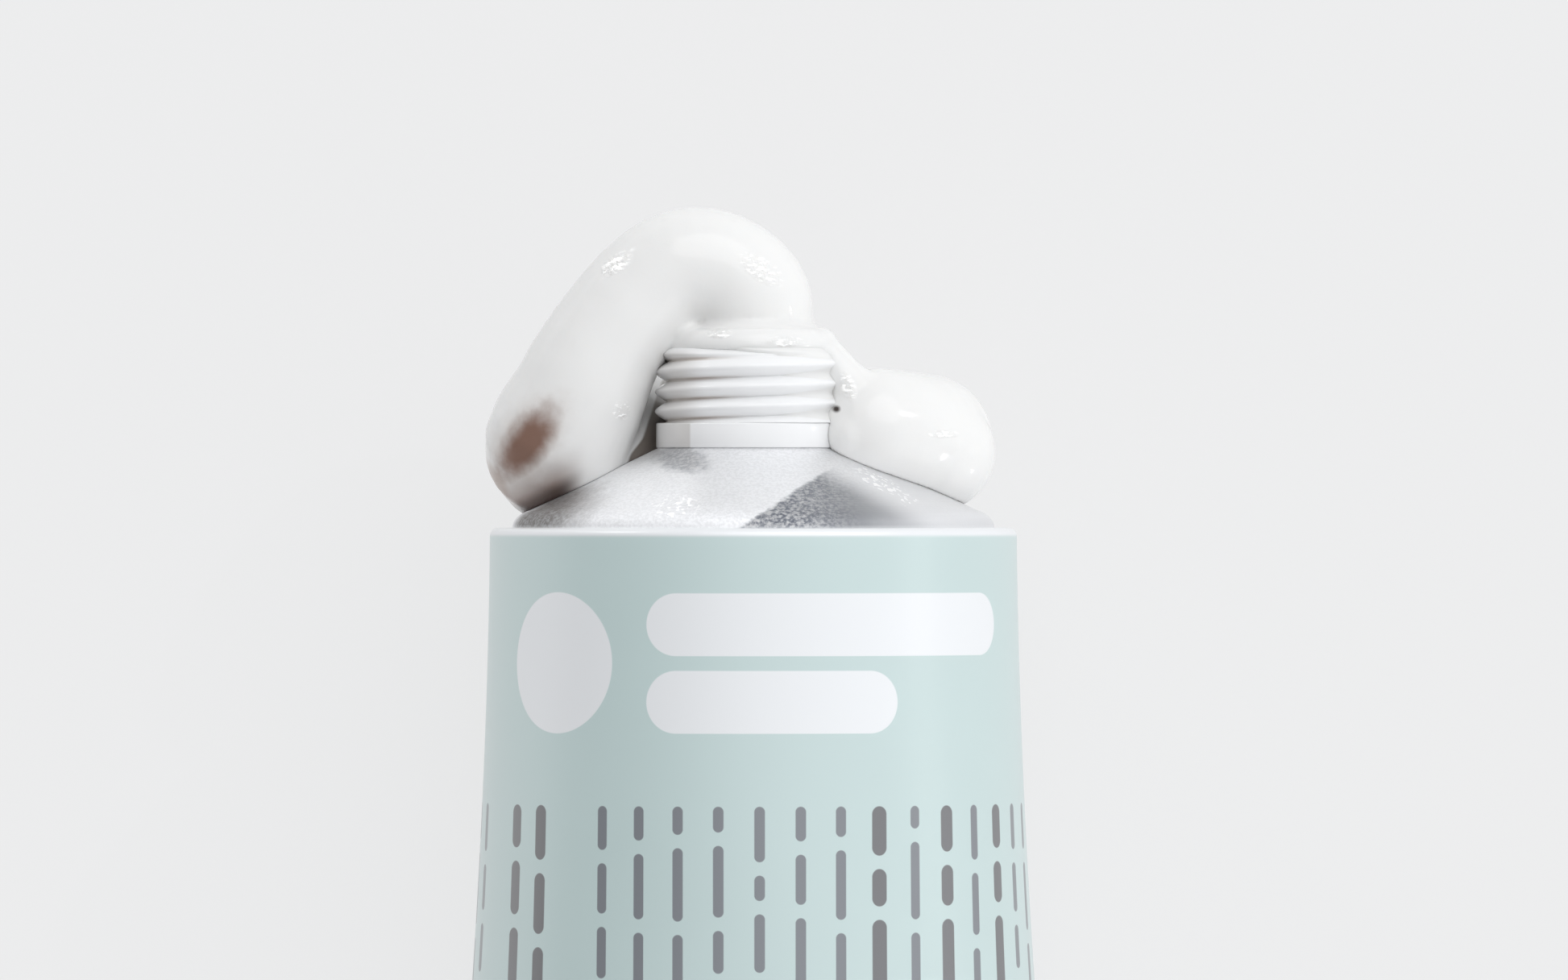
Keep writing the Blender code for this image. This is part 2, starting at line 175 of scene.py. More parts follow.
def bumpNode(tree, height, strength, distance, normal=None):
    node = tree.nodes.new("ShaderNodeBump")
    setInputs(tree, node, {"Height": height, "Strength": strength, "Distance": distance})
    if normal:
        setInputs(tree, node, {"Normal": normal})
    return node.outputs["Normal"]


softSpot = {
    "noiseScale": 900.0,
    "core": 0.35,  # share of the reach that is at full strength
}


def makeSpotGroup():
    group = bpy.data.node_groups.new("softSpot", "ShaderNodeTree")
    for name in ("Place", "Middle", "Reach", "Turn"):
        group.interface.new_socket(name, in_out="INPUT", socket_type="NodeSocketVector")
    group.interface.new_socket("Raggedness", in_out="INPUT", socket_type="NodeSocketFloat")
    group.interface.new_socket("Mask", in_out="OUTPUT", socket_type="NodeSocketFloat")
    given = group.nodes.new("NodeGroupInput")
    result = group.nodes.new("NodeGroupOutput")
    local = group.nodes.new("ShaderNodeMapping")
    local.vector_type = "TEXTURE"
    place, middle, reach, turn, raggedness = list(given.outputs)[:5]
    setInputs(group, local, {"Vector": place, "Location": middle, "Rotation": turn, "Scale": reach})
    far = group.nodes.new("ShaderNodeVectorMath")
    far.operation = "LENGTH"
    group.links.new(local.outputs["Vector"], far.inputs[0])
    rough = noiseNode(group, place, softSpot["noiseScale"], 4.0)
    shift = product(group, minus(group, rough, 0.5), raggedness)
    mask = fade(group, mathNode(group, "ADD", far.outputs["Value"], shift), 1.0, softSpot["core"])
    group.links.new(mask, result.inputs["Mask"])
    return group


spotGroup = makeSpotGroup()


def spot(tree, place, middle, reach, turn, raggedness):
    node = tree.nodes.new("ShaderNodeGroup")
    node.node_tree = spotGroup
    setInputs(tree, node, {"Place": place, "Middle": middle, "Reach": reach, "Turn": (0, 0, turn),
                           "Raggedness": raggedness})
    return node.outputs["Mask"]


# painted glints: white flecks that glow
def paintedGlintColor(tree, mask):
    return mixColor(tree, mask, (0.0, 0.0, 0.0), (1.0, 1.0, 1.0))


# Mesh helpers

def spinLine(bm, line, steps):
    chain = [bm.verts.new((radius, height, 0)) for radius, height in line]
    edges = [bm.edges.new((a, b)) for a, b in zip(chain, chain[1:] + chain[:1])]
    bmesh.ops.spin(bm, geom=chain + edges, cent=(0, 0, 0), axis=(0, 1, 0), dvec=(0, 0, 0),
                   angle=2 * math.pi, steps=steps, use_merge=True, use_duplicate=False)


def smoothVerts(bm, verts):
    bmesh.ops.smooth_vert(bm, verts=verts, factor=0.5, use_axis_x=True, use_axis_y=True, use_axis_z=True)


def evaluatedMesh(thing):
    bpy.context.scene.collection.objects.link(thing)
    mesh = bpy.data.meshes.new_from_object(thing.evaluated_get(bpy.context.evaluated_depsgraph_get()))
    bpy.data.objects.remove(thing)
    return mesh


def eased(value):
    return value * value * (3 - 2 * value)


def finishPiece(name, bm, material, node):
    bmesh.ops.transform(bm, matrix=toWorld, verts=bm.verts[:])
    mesh = bpy.data.meshes.new(name)
    bm.to_mesh(mesh)
    bm.free()
    mesh.materials.append(material)
    mesh.shade_smooth()
    piece = bpy.data.objects.new(name, mesh)
    bpy.context.scene.collection.objects.link(piece)
    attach(piece, "root")
    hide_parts(node)
    print("made", name, len(mesh.polygons), "faces")


# Camera, floor and light

camera = {
    "imageSize": (1946, 1216),
    "rimPixel": (935, 655),
    "pixelsPerMetre": 16350,
    "distance": 1.3,
    "sensor": 36.0,
    "farthest": 20.0,
}


def addCamera():
    data = bpy.data.cameras.new("camera")
    width, height = camera["imageSize"]
    data.sensor_width = camera["sensor"]
    data.lens = camera["sensor"] * camera["distance"] * camera["pixelsPerMetre"] / width
    data.clip_end = camera["farthest"]
    right = (width / 2 - camera["rimPixel"][0]) / camera["pixelsPerMetre"]
    up = (camera["rimPixel"][1] - height / 2) / camera["pixelsPerMetre"]
    eye = bpy.data.objects.new("camera", data)
    bpy.context.scene.collection.objects.link(eye)
    eye.matrix_world = toWorld @ Matrix.Translation((right, up, camera["distance"]))
    bpy.context.scene.camera = eye


studio = {
    "floorSize": 3.0,
    "floorColor": (0.84, 0.843, 0.848),
    "floorRoughness": 0.9,
    "floorGlow": 0.85,  # share of the glow colour that the camera sees on the floor
    "glowColor": (0.85, 0.852, 0.856),
    "skyBright": (0.82, 0.83, 0.845),
    "skyDim": (0.43, 0.43, 0.435),
    "skyStrength": 1.0,
    "skyRange": (-0.85, 0.1),  # across, from the dim side to the bright one
    "lamps": (  # name, place in the tube's frame, size, power
        ("keyLamp", (0.35, 1.2, 1.2), 1.8, 8.6),
        ("fillLamp", (0.8, -0.8, 0.6), 1.2, 1.5),
        ("rightSpark", (0.66, 0.54, 0.52), 0.03, 0.6),
        ("backSpark", (-0.64, 0.77, 0.07), 0.03, 0.75),
        ("lowSpark", (0.90, -0.42, 0.08), 0.04, 0.45),
        ("sideSpark", (0.97, 0.05, 0.23), 0.03, 0.15),
    ),
}


def addFloor():
    bm = bmesh.new()
    bmesh.ops.create_grid(bm, x_segments=1, y_segments=1, size=studio["floorSize"])
    mesh = bpy.data.meshes.new("floor")
    bm.to_mesh(mesh)
    bm.free()
    floor = bpy.data.objects.new("floor", mesh)
    bpy.context.scene.collection.objects.link(floor)
    material, tree, shader = newMaterial("floorPaper")
    setInputs(tree, shader, {"Base Color": (*studio["floorColor"], 1), "Roughness": studio["floorRoughness"]})
    glow = tree.nodes.new("ShaderNodeEmission")
    setInputs(tree, glow, {"Color": (*studio["glowColor"], 1)})
    rays = tree.nodes.new("ShaderNodeLightPath").outputs
    seen = mathNode(tree, "MAXIMUM", rays["Is Camera Ray"], rays["Is Glossy Ray"])
    mix = tree.nodes.new("ShaderNodeMixShader")
    setInputs(tree, mix, {"Fac": product(tree, seen, studio["floorGlow"])})
    tree.links.new(shader.outputs["BSDF"], mix.inputs[1])
    tree.links.new(glow.outputs["Emission"], mix.inputs[2])
    tree.links.new(mix.outputs["Shader"], tree.nodes["Material Output"].inputs["Surface"])
    mesh.materials.append(material)


def addLight():
    world = bpy.data.worlds.new("studio")
    bpy.context.scene.world = world
    world.use_nodes = True
    tree = world.node_tree
    direction = tree.nodes.new("ShaderNodeTexCoord").outputs["Generated"]
    side = fade(tree, splitVector(tree, direction)["X"], *studio["skyRange"])
    color = mixColor(tree, side, studio["skyDim"], studio["skyBright"])
    rays = tree.nodes.new("ShaderNodeLightPath").outputs
    color = mixColor(tree, rays["Is Camera Ray"], color, studio["glowColor"])
    setInputs(tree, tree.nodes["Background"], {"Color": color, "Strength": studio["skyStrength"]})
    for name, place, size, power in studio["lamps"]:
        data = bpy.data.lights.new(name, "AREA")
        data.shape = "DISK"
        data.size = size
        data.energy = power
        lamp = bpy.data.objects.new(name, data)
        bpy.context.scene.collection.objects.link(lamp)
        lamp.location = toWorld @ Vector(place)
        lamp.rotation_euler = (rimMiddle - lamp.location).to_track_quat("-Z", "Y").to_euler()


addCamera()
addFloor()
addLight()
bpy.context.scene.view_settings.view_transform = "Standard"
print("camera, floor and light set")


# Tube: one skin from the neck over the shoulder and sleeve into the folded end

tube = {
    "around": 208,
    "ringStep": 1.0 * mm,
    "frontFullness": 2.5,
    "frontTaper": 1.3,
    "backSquareness": 1.1,
    "tailSquareness": 2.0,
    "thumbDents": (
        inMm(5.0, 92.0, 13.0, 12.0, 2.4),
        inMm(-10.0, 113.0, 12.0, 10.0, 1.4),
    ),
    "waveDepth": 0.16 * mm,
    "waveSize": inMm(11.0, 17.0),  # across, along
    "creaseDepth": 0.7 * mm,
    "creaseSize": inMm(16.0, 13.0),
    "creaseFrom": 0.3,  # share of the sleeve that stays free of creases
    "calmEnd": 14.0 * mm,
    "rimLand": 1.1 * mm,
    "kneeWidth": 1.4 * mm,
    "kneeRise": 1.37 * mm,
    "kneeSweep": math.radians(65),
    "kneeSteps": 8,
    "rimSteps": 6,
    "shoulderAngle": math.radians(25.9),
    "shoulderSteps": 24,
    "neckRadius": 5.4 * mm,
    "neckHeight": 4.0 * mm,
    "neckBore": 4.9 * mm,
    "foldThickness": 1.1 * mm,
    "foldLayers": 3,
    "foldSteps": 8,
    "foldStops": inMm(1.2, 2.4, 3.6),
    "foldRipple": 0.03 * mm,
}
kneeTop = lie["bodyRadius"] - lie["rimRound"] - tube["rimLand"] - tube["kneeWidth"]
backRun = lie["sleeveLength"] - lie["rimRound"]


def shoulderHeight(radius):
    return tube["kneeRise"] + (kneeTop - radius) * math.tan(tube["shoulderAngle"])


def sectionPoints(width, front, back, frontSquare, backSquare, count):
    angle = 2 * np.pi * np.arange(count) / count
    across, along = np.cos(angle), np.sin(angle)
    isFront = np.arange(count) < count // 2
    square = np.where(isFront, frontSquare, backSquare)
    depth = np.where(isFront, front, back)
    x = np.sign(across) * np.abs(across) ** (2 / square) * width
    z = np.sign(along) * np.abs(along) ** (2 / square) * depth
    return np.stack([x, z], 1)


def girthOf(points):
    return np.linalg.norm(np.roll(points, -1, 0) - points, axis=1).sum()


def sleeveShape(down, count):
    share = (down - lie["rimRound"]) / backRun
    radius = lie["bodyRadius"]
    front = tailHalf + (radius - tailHalf) * (1 - share ** tube["frontFullness"]) ** tube["frontTaper"]
    back = radius - (radius - tailHalf) * share
    frontSquare = 2 + tube["tailSquareness"] * share**6
    backSquare = frontSquare + tube["backSquareness"] * 4 * share * (1 - share)
    whole = girthOf(sectionPoints(radius, radius, radius, 2, 2, count))
    low, high = radius / 2, radius * 2
    for _ in range(24):
        width = (low + high) / 2
        if girthOf(sectionPoints(width, front, back, frontSquare, backSquare, count)) < whole:
            low = width
        else:
            high = width
    return width, front, back, frontSquare, backSquare


def pressed(x, z, down, front):
    dent = 0.0
    for side, place, halfWidth, halfLength, depth in tube["thumbDents"]:
        dent += depth * math.exp(-(((x - side) / halfWidth) ** 2) - ((down - place) / halfLength) ** 2)
    upper = z / front
    share = down / lie["sleeveLength"]
    across, along = tube["waveSize"]
    soft = noise.noise(Vector((x / across, down / along, z / across)))
    across, along = tube["creaseSize"]
    sharp = abs(noise.noise(Vector((x / across + 7, down / along, 3.1))))
    fadeOut = min(1.0, (lie["sleeveLength"] - down) / tube["calmEnd"])
    crease = tube["creaseDepth"] * max(0.0, share - tube["creaseFrom"]) * (0.25 - sharp) * 3
    wave = tube["waveDepth"] * soft * (0.4 + share)
    return max(z - (dent - (crease + wave) * fadeOut) * upper, 0.0)


def sleeveRing(down, count, inset=0.0):
    width, front, back, frontSquare, backSquare = sleeveShape(down, count)
    ring = []
    for x, z in sectionPoints(width - inset, front - inset, back - inset, frontSquare, backSquare, count):
        if z > 0:
            z = pressed(x, z, down, front)
        ring.append(Vector((x, -down, z)))
    return ring


def roundRing(radius, height, count):
    return [Vector((x, height, z)) for x, z in sectionPoints(radius, radius, radius, 2, 2, count)]


def headLine():
    landOuter = lie["bodyRadius"] - lie["rimRound"]
    landInner = landOuter - tube["rimLand"]
    neckFoot = shoulderHeight(tube["neckRadius"])
    line = [(tube["neckBore"], neckFoot), (tube["neckBore"], neckFoot + tube["neckHeight"])]
    line += [(tube["neckRadius"], neckFoot + tube["neckHeight"]), (tube["neckRadius"], neckFoot)]
    for i in range(1, tube["shoulderSteps"]):
        radius = tube["neckRadius"] + (kneeTop - tube["neckRadius"]) * i / tube["shoulderSteps"]
        line.append((radius, shoulderHeight(radius)))
    for i in range(tube["kneeSteps"], 0, -1):
        turn = tube["kneeSweep"] * i / tube["kneeSteps"]
        inward = tube["kneeWidth"] * (1 - math.cos(turn)) / (1 - math.cos(tube["kneeSweep"]))
        rise = tube["kneeRise"] * math.sin(turn) / math.sin(tube["kneeSweep"])
        line.append((landInner - inward, rise))
    line += [(landInner, 0.05 * mm), (landInner + 0.06 * mm, 0.0), (landOuter, 0.0)]
    for i in range(1, tube["rimSteps"] + 1):
        turn = math.pi / 2 * i / tube["rimSteps"]
        line.append((landOuter + lie["rimRound"] * math.sin(turn), lie["rimRound"] * (math.cos(turn) - 1)))
    return line


def foldRings(count):
    # each step: along the fold, up from the first layer's underside, turn
    layer = tube["foldThickness"] / tube["foldLayers"]
    half = layer * 0.46
    turnRadius = layer / 2
    near, far = 0.35 * mm, lie["foldWidth"] - layer
    stops = tube["foldStops"]
    turns = [math.pi * i / tube["foldSteps"] for i in range(1, tube["foldSteps"] + 1)]
    steps = [(a, layer / 2, 0.0) for a in (0.3 * mm, *stops, far)]
    steps += [(far + turnRadius * math.sin(turn), layer - turnRadius * math.cos(turn), turn)
              for turn in turns]
    steps += [(a, layer * 1.5, math.pi) for a in (*reversed(stops), near)]
    steps += [(near - turnRadius * math.sin(turn), layer * 2 - turnRadius * math.cos(turn), math.pi - turn)
              for turn in turns]
    steps += [(a, layer * 2.5, 0.0) for a in (*stops, far - 0.3 * mm)]
    width = sleeveShape(lie["sleeveLength"], count)[0]
    square = 2 + tube["tailSquareness"]
    cosine, sine = math.cos(lieAngle), math.sin(lieAngle)
    rings = []
    for along, up, turn in steps:
        ring = []
        for x, z in sectionPoints(width, half, half, square, square, count):
            a = along + z * math.sin(turn)
            b = up + z * math.cos(turn)
            ripple = noise.noise(Vector((x / (4.0 * mm), up / (0.4 * mm), 1.0)))
            b += tube["foldRipple"] * ripple * (up / tube["foldThickness"])
            height = -lie["sleeveLength"] - a * cosine + b * sine
            depth = -tailHalf + a * sine + b * cosine
            ring.append(Vector((x, height, depth)))
        rings.append(ring)
    return rings


def extrudeSkin(bm, rings):
    # a circle is drawn out ring by ring, then both ends are filled
    count = len(rings[0])
    bmesh.ops.create_circle(bm, segments=count, radius=lie["bodyRadius"])
    bm.verts.ensure_lookup_table()
    row = bm.verts[:]
    for corner, place in zip(row, rings[0]):
        corner.co = place
    rows = [row]
    for ring in rings[1:]:
        edges = [bm.edges.get((a, b)) for a, b in zip(row, row[1:] + row[:1])]
        made = bmesh.ops.extrude_edge_only(bm, edges=edges)["geom"]
        fresh = {item for item in made if isinstance(item, bmesh.types.BMVert)}
        following = []
        for corner in row:
            partner = next(e.other_vert(corner) for e in corner.link_edges if e.other_vert(corner) in fresh)
            following.append(partner)
        for corner, place in zip(following, ring):
            corner.co = place
        rows.append(following)
        row = following
    for row in (rows[0], rows[-1]):
        bmesh.ops.edgeloop_fill(bm, edges=[bm.edges.get((a, b)) for a, b in zip(row, row[1:] + row[:1])])
    bmesh.ops.recalc_face_normals(bm, faces=bm.faces[:])
    if bm.calc_volume(signed=True) < 0:
        bmesh.ops.reverse_faces(bm, faces=bm.faces[:])
    return rows


def writePrintPlace(bm, rows):
    # where the printing sits: the way round the skin from the front's middle, and down from the rim
    seat = {}
    for r, row in enumerate(rows):
        arc = [0.0]
        for a, b in zip(row, row[1:] + row[:1]):
            arc.append(arc[-1] + (b.co - a.co).length)
        for i, corner in enumerate(row):
            seat[corner] = (i, arc)
    layer = bm.loops.layers.float_vector.new("printPlace")
    count = len(rows[0])
    for face in bm.faces:
        if len(face.verts) > 4:
            continue
        numbers = [seat[loop.vert][0] for loop in face.loops]
        wraps = max(numbers) - min(numbers) > 1
        for loop, number in zip(face.loops, numbers):
            arc = seat[loop.vert][1]
            place = count if wraps and number == 0 else number
            loop[layer] = Vector((arc[count // 4] - arc[place], -loop.vert.co.y, 0.0))


def makeTube(material):
    count = tube["around"]
    rings = [roundRing(radius, height, count) for radius, height in headLine()]
    total = round(backRun / tube["ringStep"])
    rings += [sleeveRing(lie["rimRound"] + backRun * i / total, count) for i in range(1, total)]
    rings += foldRings(count)
    bm = bmesh.new()
    rows = extrudeSkin(bm, rings)
    writePrintPlace(bm, rows)
    finishPiece("tubeBody", bm, material, "tube")


# Enamel and bare metal of the tube

enamel = {
    "mint": (0.52, 0.658, 0.65),
    "white": (0.84, 0.86, 0.88),
    "ink": (0.075, 0.075, 0.085),
    "softInk": (0.13, 0.145, 0.17),
    "metal": (0.96, 0.965, 0.98),
    # colours of the painted reflection of dark surroundings on the bare metal
    "paintedDarkReflection": (0.18, 0.195, 0.23),
    "paintedGreyReflection": (0.33, 0.34, 0.36),
    "paintedLeftShadeColor": (0.23, 0.215, 0.205),
    "whiteEdge": 0.55 * mm,
    "roughness": 0.42,
    "coatRoughness": 0.38,
    "coatIndex": 2.3,
    "mottleScale": 90.0,  # these scales are noise waves in a metre
    "speckleScale": 4200.0,
    "fleckScale": 3000.0,
    "coarseScale": 420.0,
    "raggedScale": 1100.0,
    "sparkScale": 2600.0,
    "grainScale": 3600.0,
    "peelScale": 260.0,
    "turningMarks": 17500.0,
    "patchEdge": (0.66, 0.75 * mm),  # slope and height of the left edge of the painted dark reflection
    "patchTop": (-0.49, 7.5 * mm),
    # painted shade on the bare metal: under the leg, and beside the neck
    "leftShade": (inMm(-18.0, 1.0, 8.0), inMm(8.5, 4.6, 20.0), 0.4, 0.3),
    "neckShade": (inMm(-5.6, 5.3, 8.0), inMm(3.2, 1.5, 12.0), -0.3, 0.9),
    "haze": (inMm(-7.4, 2.6, 12.0), inMm(5.0, 3.4, 14.0), 0.35, 0.12),
    "glints": (  # places on the bare metal with painted glints that glow: middle, reach, turn
        (inMm(-5.7, 1.6, 15.0), inMm(2.4, 1.2, 6.0), 0.0),
        (inMm(9.4, 3.6, 8.5), inMm(2.6, 0.8, 6.0), -0.48),
        (inMm(11.7, 2.1, 10.0), inMm(0.9, 0.6, 6.0), 0.0),
    ),
    "glintStrength": 0.5,
}
label = {
    "discMiddle": inMm(-16.4, 10.1),
    "discRadius": 5.3 * mm,
    "bars": (  # middle, half length, half height
        (inMm(7.2, 7.2), 15.4 * mm, 2.35 * mm),
        (inMm(1.6, 13.0), 9.8 * mm, 2.35 * mm),
    ),
    "columnPitch": 3.1 * mm,
    "columnShift": 0.5 * mm,
    "columnTop": 20.8 * mm,
    "columnEnd": 96.0 * mm,
    "columnEdge": 31.0 * mm,
    "boldColumns": (-7, -6, 3, 5, 7),
    "emptyColumns": (-8, -5),
    "wordStep": 5.4 * mm,
    "wordGap": 1.0 * mm,
    "wordMargin": 0.8 * mm,
    "lightHalf": 0.40 * mm,
    "boldHalf": 0.60 * mm,
}


def oneOf(tree, value, numbers):
    return largest(tree, [mathNode(tree, "COMPARE", value, number, 0.4) for number in numbers])


def columnMasks(tree, u, v):
    shifted = minus(tree, u, label["columnShift"])
    number = mathNode(tree, "ROUND", mathNode(tree, "DIVIDE", shifted, label["columnPitch"]))
    offset = minus(tree, shifted, product(tree, number, label["columnPitch"]))
    bold = oneOf(tree, number, label["boldColumns"])
    half = scaled(tree, bold, label["boldHalf"] - label["lightHalf"], label["lightHalf"])
    cell = mathNode(tree, "FLOOR", mathNode(tree, "DIVIDE", v, label["wordStep"]))
    dice = tree.nodes.new("ShaderNodeTexWhiteNoise")
    dice.noise_dimensions = "2D"
    pair = tree.nodes.new("ShaderNodeCombineXYZ")
    tree.links.new(number, pair.inputs["X"])
    tree.links.new(cell, pair.inputs["Y"])
    tree.links.new(pair.outputs[0], dice.inputs["Vector"])
    first = label["wordMargin"] + label["wordGap"] / 2
    gapPlace = scaled(tree, dice.outputs["Value"], label["wordStep"] - 2 * first, first)
    inCell = minus(tree, v, product(tree, cell, label["wordStep"]))
    toGap = mathNode(tree, "ABSOLUTE", minus(tree, inCell, gapPlace))
    toEnd = minus(tree, toGap, label["wordGap"] / 2)
    toEnd = mathNode(tree, "MINIMUM", toEnd, minus(tree, v, label["columnTop"]))
    toEnd = mathNode(tree, "MINIMUM", toEnd, minus(tree, label["columnEnd"], v))
    past = mathNode(tree, "MAXIMUM", minus(tree, half, toEnd), 0.0)
    far = lengthOf(tree, offset, past)
    mask = fade(tree, minus(tree, half, far), -0.04 * mm, 0.04 * mm)
    near = mathNode(tree, "LESS_THAN", mathNode(tree, "ABSOLUTE", u), label["columnEdge"])
    kept = minus(tree, 1.0, oneOf(tree, number, label["emptyColumns"]))
    return product(tree, mask, near, kept), bold


def roundBar(tree, u, v, middle, halfLength, halfHeight):
    reach = mathNode(tree, "ABSOLUTE", minus(tree, u, middle[0]))
    past = mathNode(tree, "MAXIMUM", minus(tree, reach, halfLength - halfHeight), 0.0)
    rise = minus(tree, v, middle[1])
    far = lengthOf(tree, past, rise)
    return fade(tree, far, halfHeight + 0.05 * mm, halfHeight - 0.05 * mm)


# Painted light on the bare metal: a dark flecked patch right of the neck is a painted reflection of dark
# surroundings, smoother grey towards the right; beside the neck and under the leg it is painted shade.
def metalShade(tree, place, x, h):
    ragged = noiseNode(tree, place, enamel["raggedScale"], 3.0)
    ragged = product(tree, minus(tree, ragged, 0.5), 0.9 * mm)
    slope = scaled(tree, x, *enamel["patchEdge"])
    under = minus(tree, mathNode(tree, "ADD", slope, ragged), h)
    upperLeft = fade(tree, under, -0.15 * mm, 0.25 * mm)
    rightSlope = scaled(tree, x, *enamel["patchTop"])
    right = fade(tree, minus(tree, rightSlope, h), -0.4 * mm, 1.7 * mm)
    fading = fade(tree, x, 16.0 * mm, 6.5 * mm)
    patch = product(tree, upperLeft, right, fading)
    left, neck, haze = (spot(tree, place, *enamel[name]) for name in ("leftShade", "neckShade", "haze"))
    shade = mathNode(tree, "MAXIMUM", patch, product(tree, neck, 0.6))
    front = fade(tree, splitVector(tree, place)["Z"], 1.0 * mm, 5.0 * mm)
    return [product(tree, mask, front) for mask in (shade, left, haze)]


def makeTubeMaterial():
    material, tree, shader = newMaterial("mintEnamelOnMetal")
    place = tubePlace(tree)
    x, h, d = splitVector(tree, place)
    radius = lengthOf(tree, x, d)
    printed = tree.nodes.new("ShaderNodeAttribute")
    printed.attribute_name = "printPlace"
    u, v, _ = splitVector(tree, printed.outputs["Vector"])
    mottle = noiseNode(tree, place, enamel["mottleScale"], 2.0)
    mint = mixColor(tree, mottle, toned(enamel["mint"], 0.975), toned(enamel["mint"], 1.02))
    ink, bold = columnMasks(tree, u, v)
    inkColor = mixColor(tree, bold, enamel["softInk"], enamel["ink"])
    color = mixColor(tree, ink, mint, inkColor)
    disc = (label["discMiddle"], label["discRadius"], label["discRadius"])
    blocks = [roundBar(tree, u, v, *block) for block in (disc, *label["bars"])]
    color = mixColor(tree, largest(tree, blocks), color, enamel["white"])
    edge = fade(tree, h, -enamel["whiteEdge"] - 0.2 * mm, -enamel["whiteEdge"] + 0.15 * mm)
    color = mixColor(tree, edge, color, enamel["white"])
    landInner = lie["bodyRadius"] - lie["rimRound"] - tube["rimLand"]
    bare = fade(tree, radius, landInner + 0.1 * mm, landInner - 0.05 * mm)
    bare = product(tree, bare, fade(tree, h, -0.3 * mm, -0.1 * mm))
    speckle = fade(tree, noiseNode(tree, place, enamel["speckleScale"], 3.0, 0.65), 0.38, 0.62)
    flecks = fade(tree, noiseNode(tree, place, enamel["fleckScale"], 3.0, 0.7), 0.36, 0.66)
    coarse = noiseNode(tree, place, enamel["coarseScale"], 4.0, 0.6)
    metal = mixColor(tree, speckle, toned(enamel["metal"], 0.90), enamel["metal"])
    # painted reflection: the bare metal darker towards the right
    metal = mixColor(tree, fade(tree, x, 5.0 * mm, 11.0 * mm), metal, toned(enamel["metal"], 0.88))
    dark, left, haze = metalShade(tree, place, x, h)
    # colour of the painted dark reflection: dark flecks, smooth grey towards the right
    reflectionColor = mixColor(tree, flecks, enamel["paintedDarkReflection"], toned(enamel["metal"], 0.62))
    reflectionColor = mixColor(tree, fade(tree, x, 2.5 * mm, 9.0 * mm), reflectionColor, enamel["paintedGreyReflection"])
    metal = mixColor(tree, dark, metal, reflectionColor)
    # painted shade under the leg: brownish grey with flecks
    leftShaded = mixColor(tree, flecks, enamel["paintedLeftShadeColor"], toned(enamel["metal"], 0.42))
    metal = mixColor(tree, left, metal, leftShaded)
    color = mixColor(tree, bare, color, metal)
    metalRough = scaled(tree, coarse, 0.25, 0.24)
    metalRough = mathNode(tree, "ADD", metalRough, product(tree, fade(tree, h, 2.0 * mm, 0.9 * mm), 0.3))
    paintRough = scaled(tree, mottle, 0.1, enamel["roughness"] - 0.05)
    roughness = tree.nodes.new("ShaderNodeMix")
    setInputs(tree, roughness, {"Factor": bare, "A": paintRough, "B": metalRough})
    sheen = scaled(tree, fade(tree, x, 8.0 * mm, 2.0 * mm), -0.2, 0.9)
    sheen = scaled(tree, haze, -0.5, sheen)
    # painted glints: flecks in these places glow through Emission Color
    paintedGlintPlaces = largest(tree, [spot(tree, place, *glint, 0.4) for glint in enamel["glints"]])
    sparks = fade(tree, noiseNode(tree, place, enamel["sparkScale"], 2.0), 0.56, 0.66)
    grain = product(tree, noiseNode(tree, place, enamel["grainScale"], 3.0), bare)
    peel = noiseNode(tree, place, enamel["peelScale"], 2.0)
    turned = product(tree, mathNode(tree, "SINE", product(tree, radius, enamel["turningMarks"])), bare)
    normal = bumpNode(tree, grain, 0.35, 0.06 * mm)
    normal = bumpNode(tree, turned, 0.4, 0.01 * mm, normal)
    normal = bumpNode(tree, peel, 0.2, 0.05 * mm, normal)
    setInputs(tree, shader, {
        "Base Color": color,
        "Roughness": roughness.outputs["Result"],
        "Metallic": product(tree, bare, sheen),
        "Coat Weight": minus(tree, 1.0, bare),
        "Coat Roughness": enamel["coatRoughness"],
        "Coat IOR": enamel["coatIndex"],
        "Emission Color": paintedGlintColor(tree, product(tree, sparks, paintedGlintPlaces, bare)),
        "Emission Strength": enamel["glintStrength"],
        "Normal": normal,
    })
    return material


makeTube(makeTubeMaterial())


# Nozzle: turned, then its thread raised round it

nozzle = {
    "around": 192,
    "collarRadius": 7.38 * mm,
    "collarTop": 7.96 * mm,
    "collarRound": 0.12 * mm,
    "seatGap": 0.06 * mm,
    "rootRadius": 6.56 * mm,
    "threadDepth": 0.92 * mm,
    "threadPitch": 1.5 * mm,
    "crestRound": 0.45,
    "crestHeight": 10.70 * mm,
    "threadFull": math.radians(625),
    "threadEnd": math.radians(715),
    "lipRadius": 5.95 * mm,
    "lipRound": 0.7 * mm,
    "threadedTop": 13.35 * mm,
    "top": 15.0 * mm,
    "orifice": 4.35 * mm,
    "socket": 5.6 * mm,
    "step": 0.07 * mm,
    "lipSteps": 6,
    "collarSteps": 4,
}


def threadLift(x, h, d):
    angle = np.arctan2(x, d)
    turns = (h - nozzle["crestHeight"]) / nozzle["threadPitch"] - angle / (2 * np.pi)
    nearest = np.round(turns)
    off = np.abs(turns - nearest) * 2
    soft = nozzle["crestRound"]
    ridge = 1 - (np.hypot(off, soft) - soft) / (math.hypot(1, soft) - soft)
    travelled = nearest * 2 * np.pi + angle
    swell = np.clip((nozzle["threadEnd"] - travelled) / (nozzle["threadEnd"] - nozzle["threadFull"]), 0, 1)
    return nozzle["threadDepth"] * ridge * eased(swell)


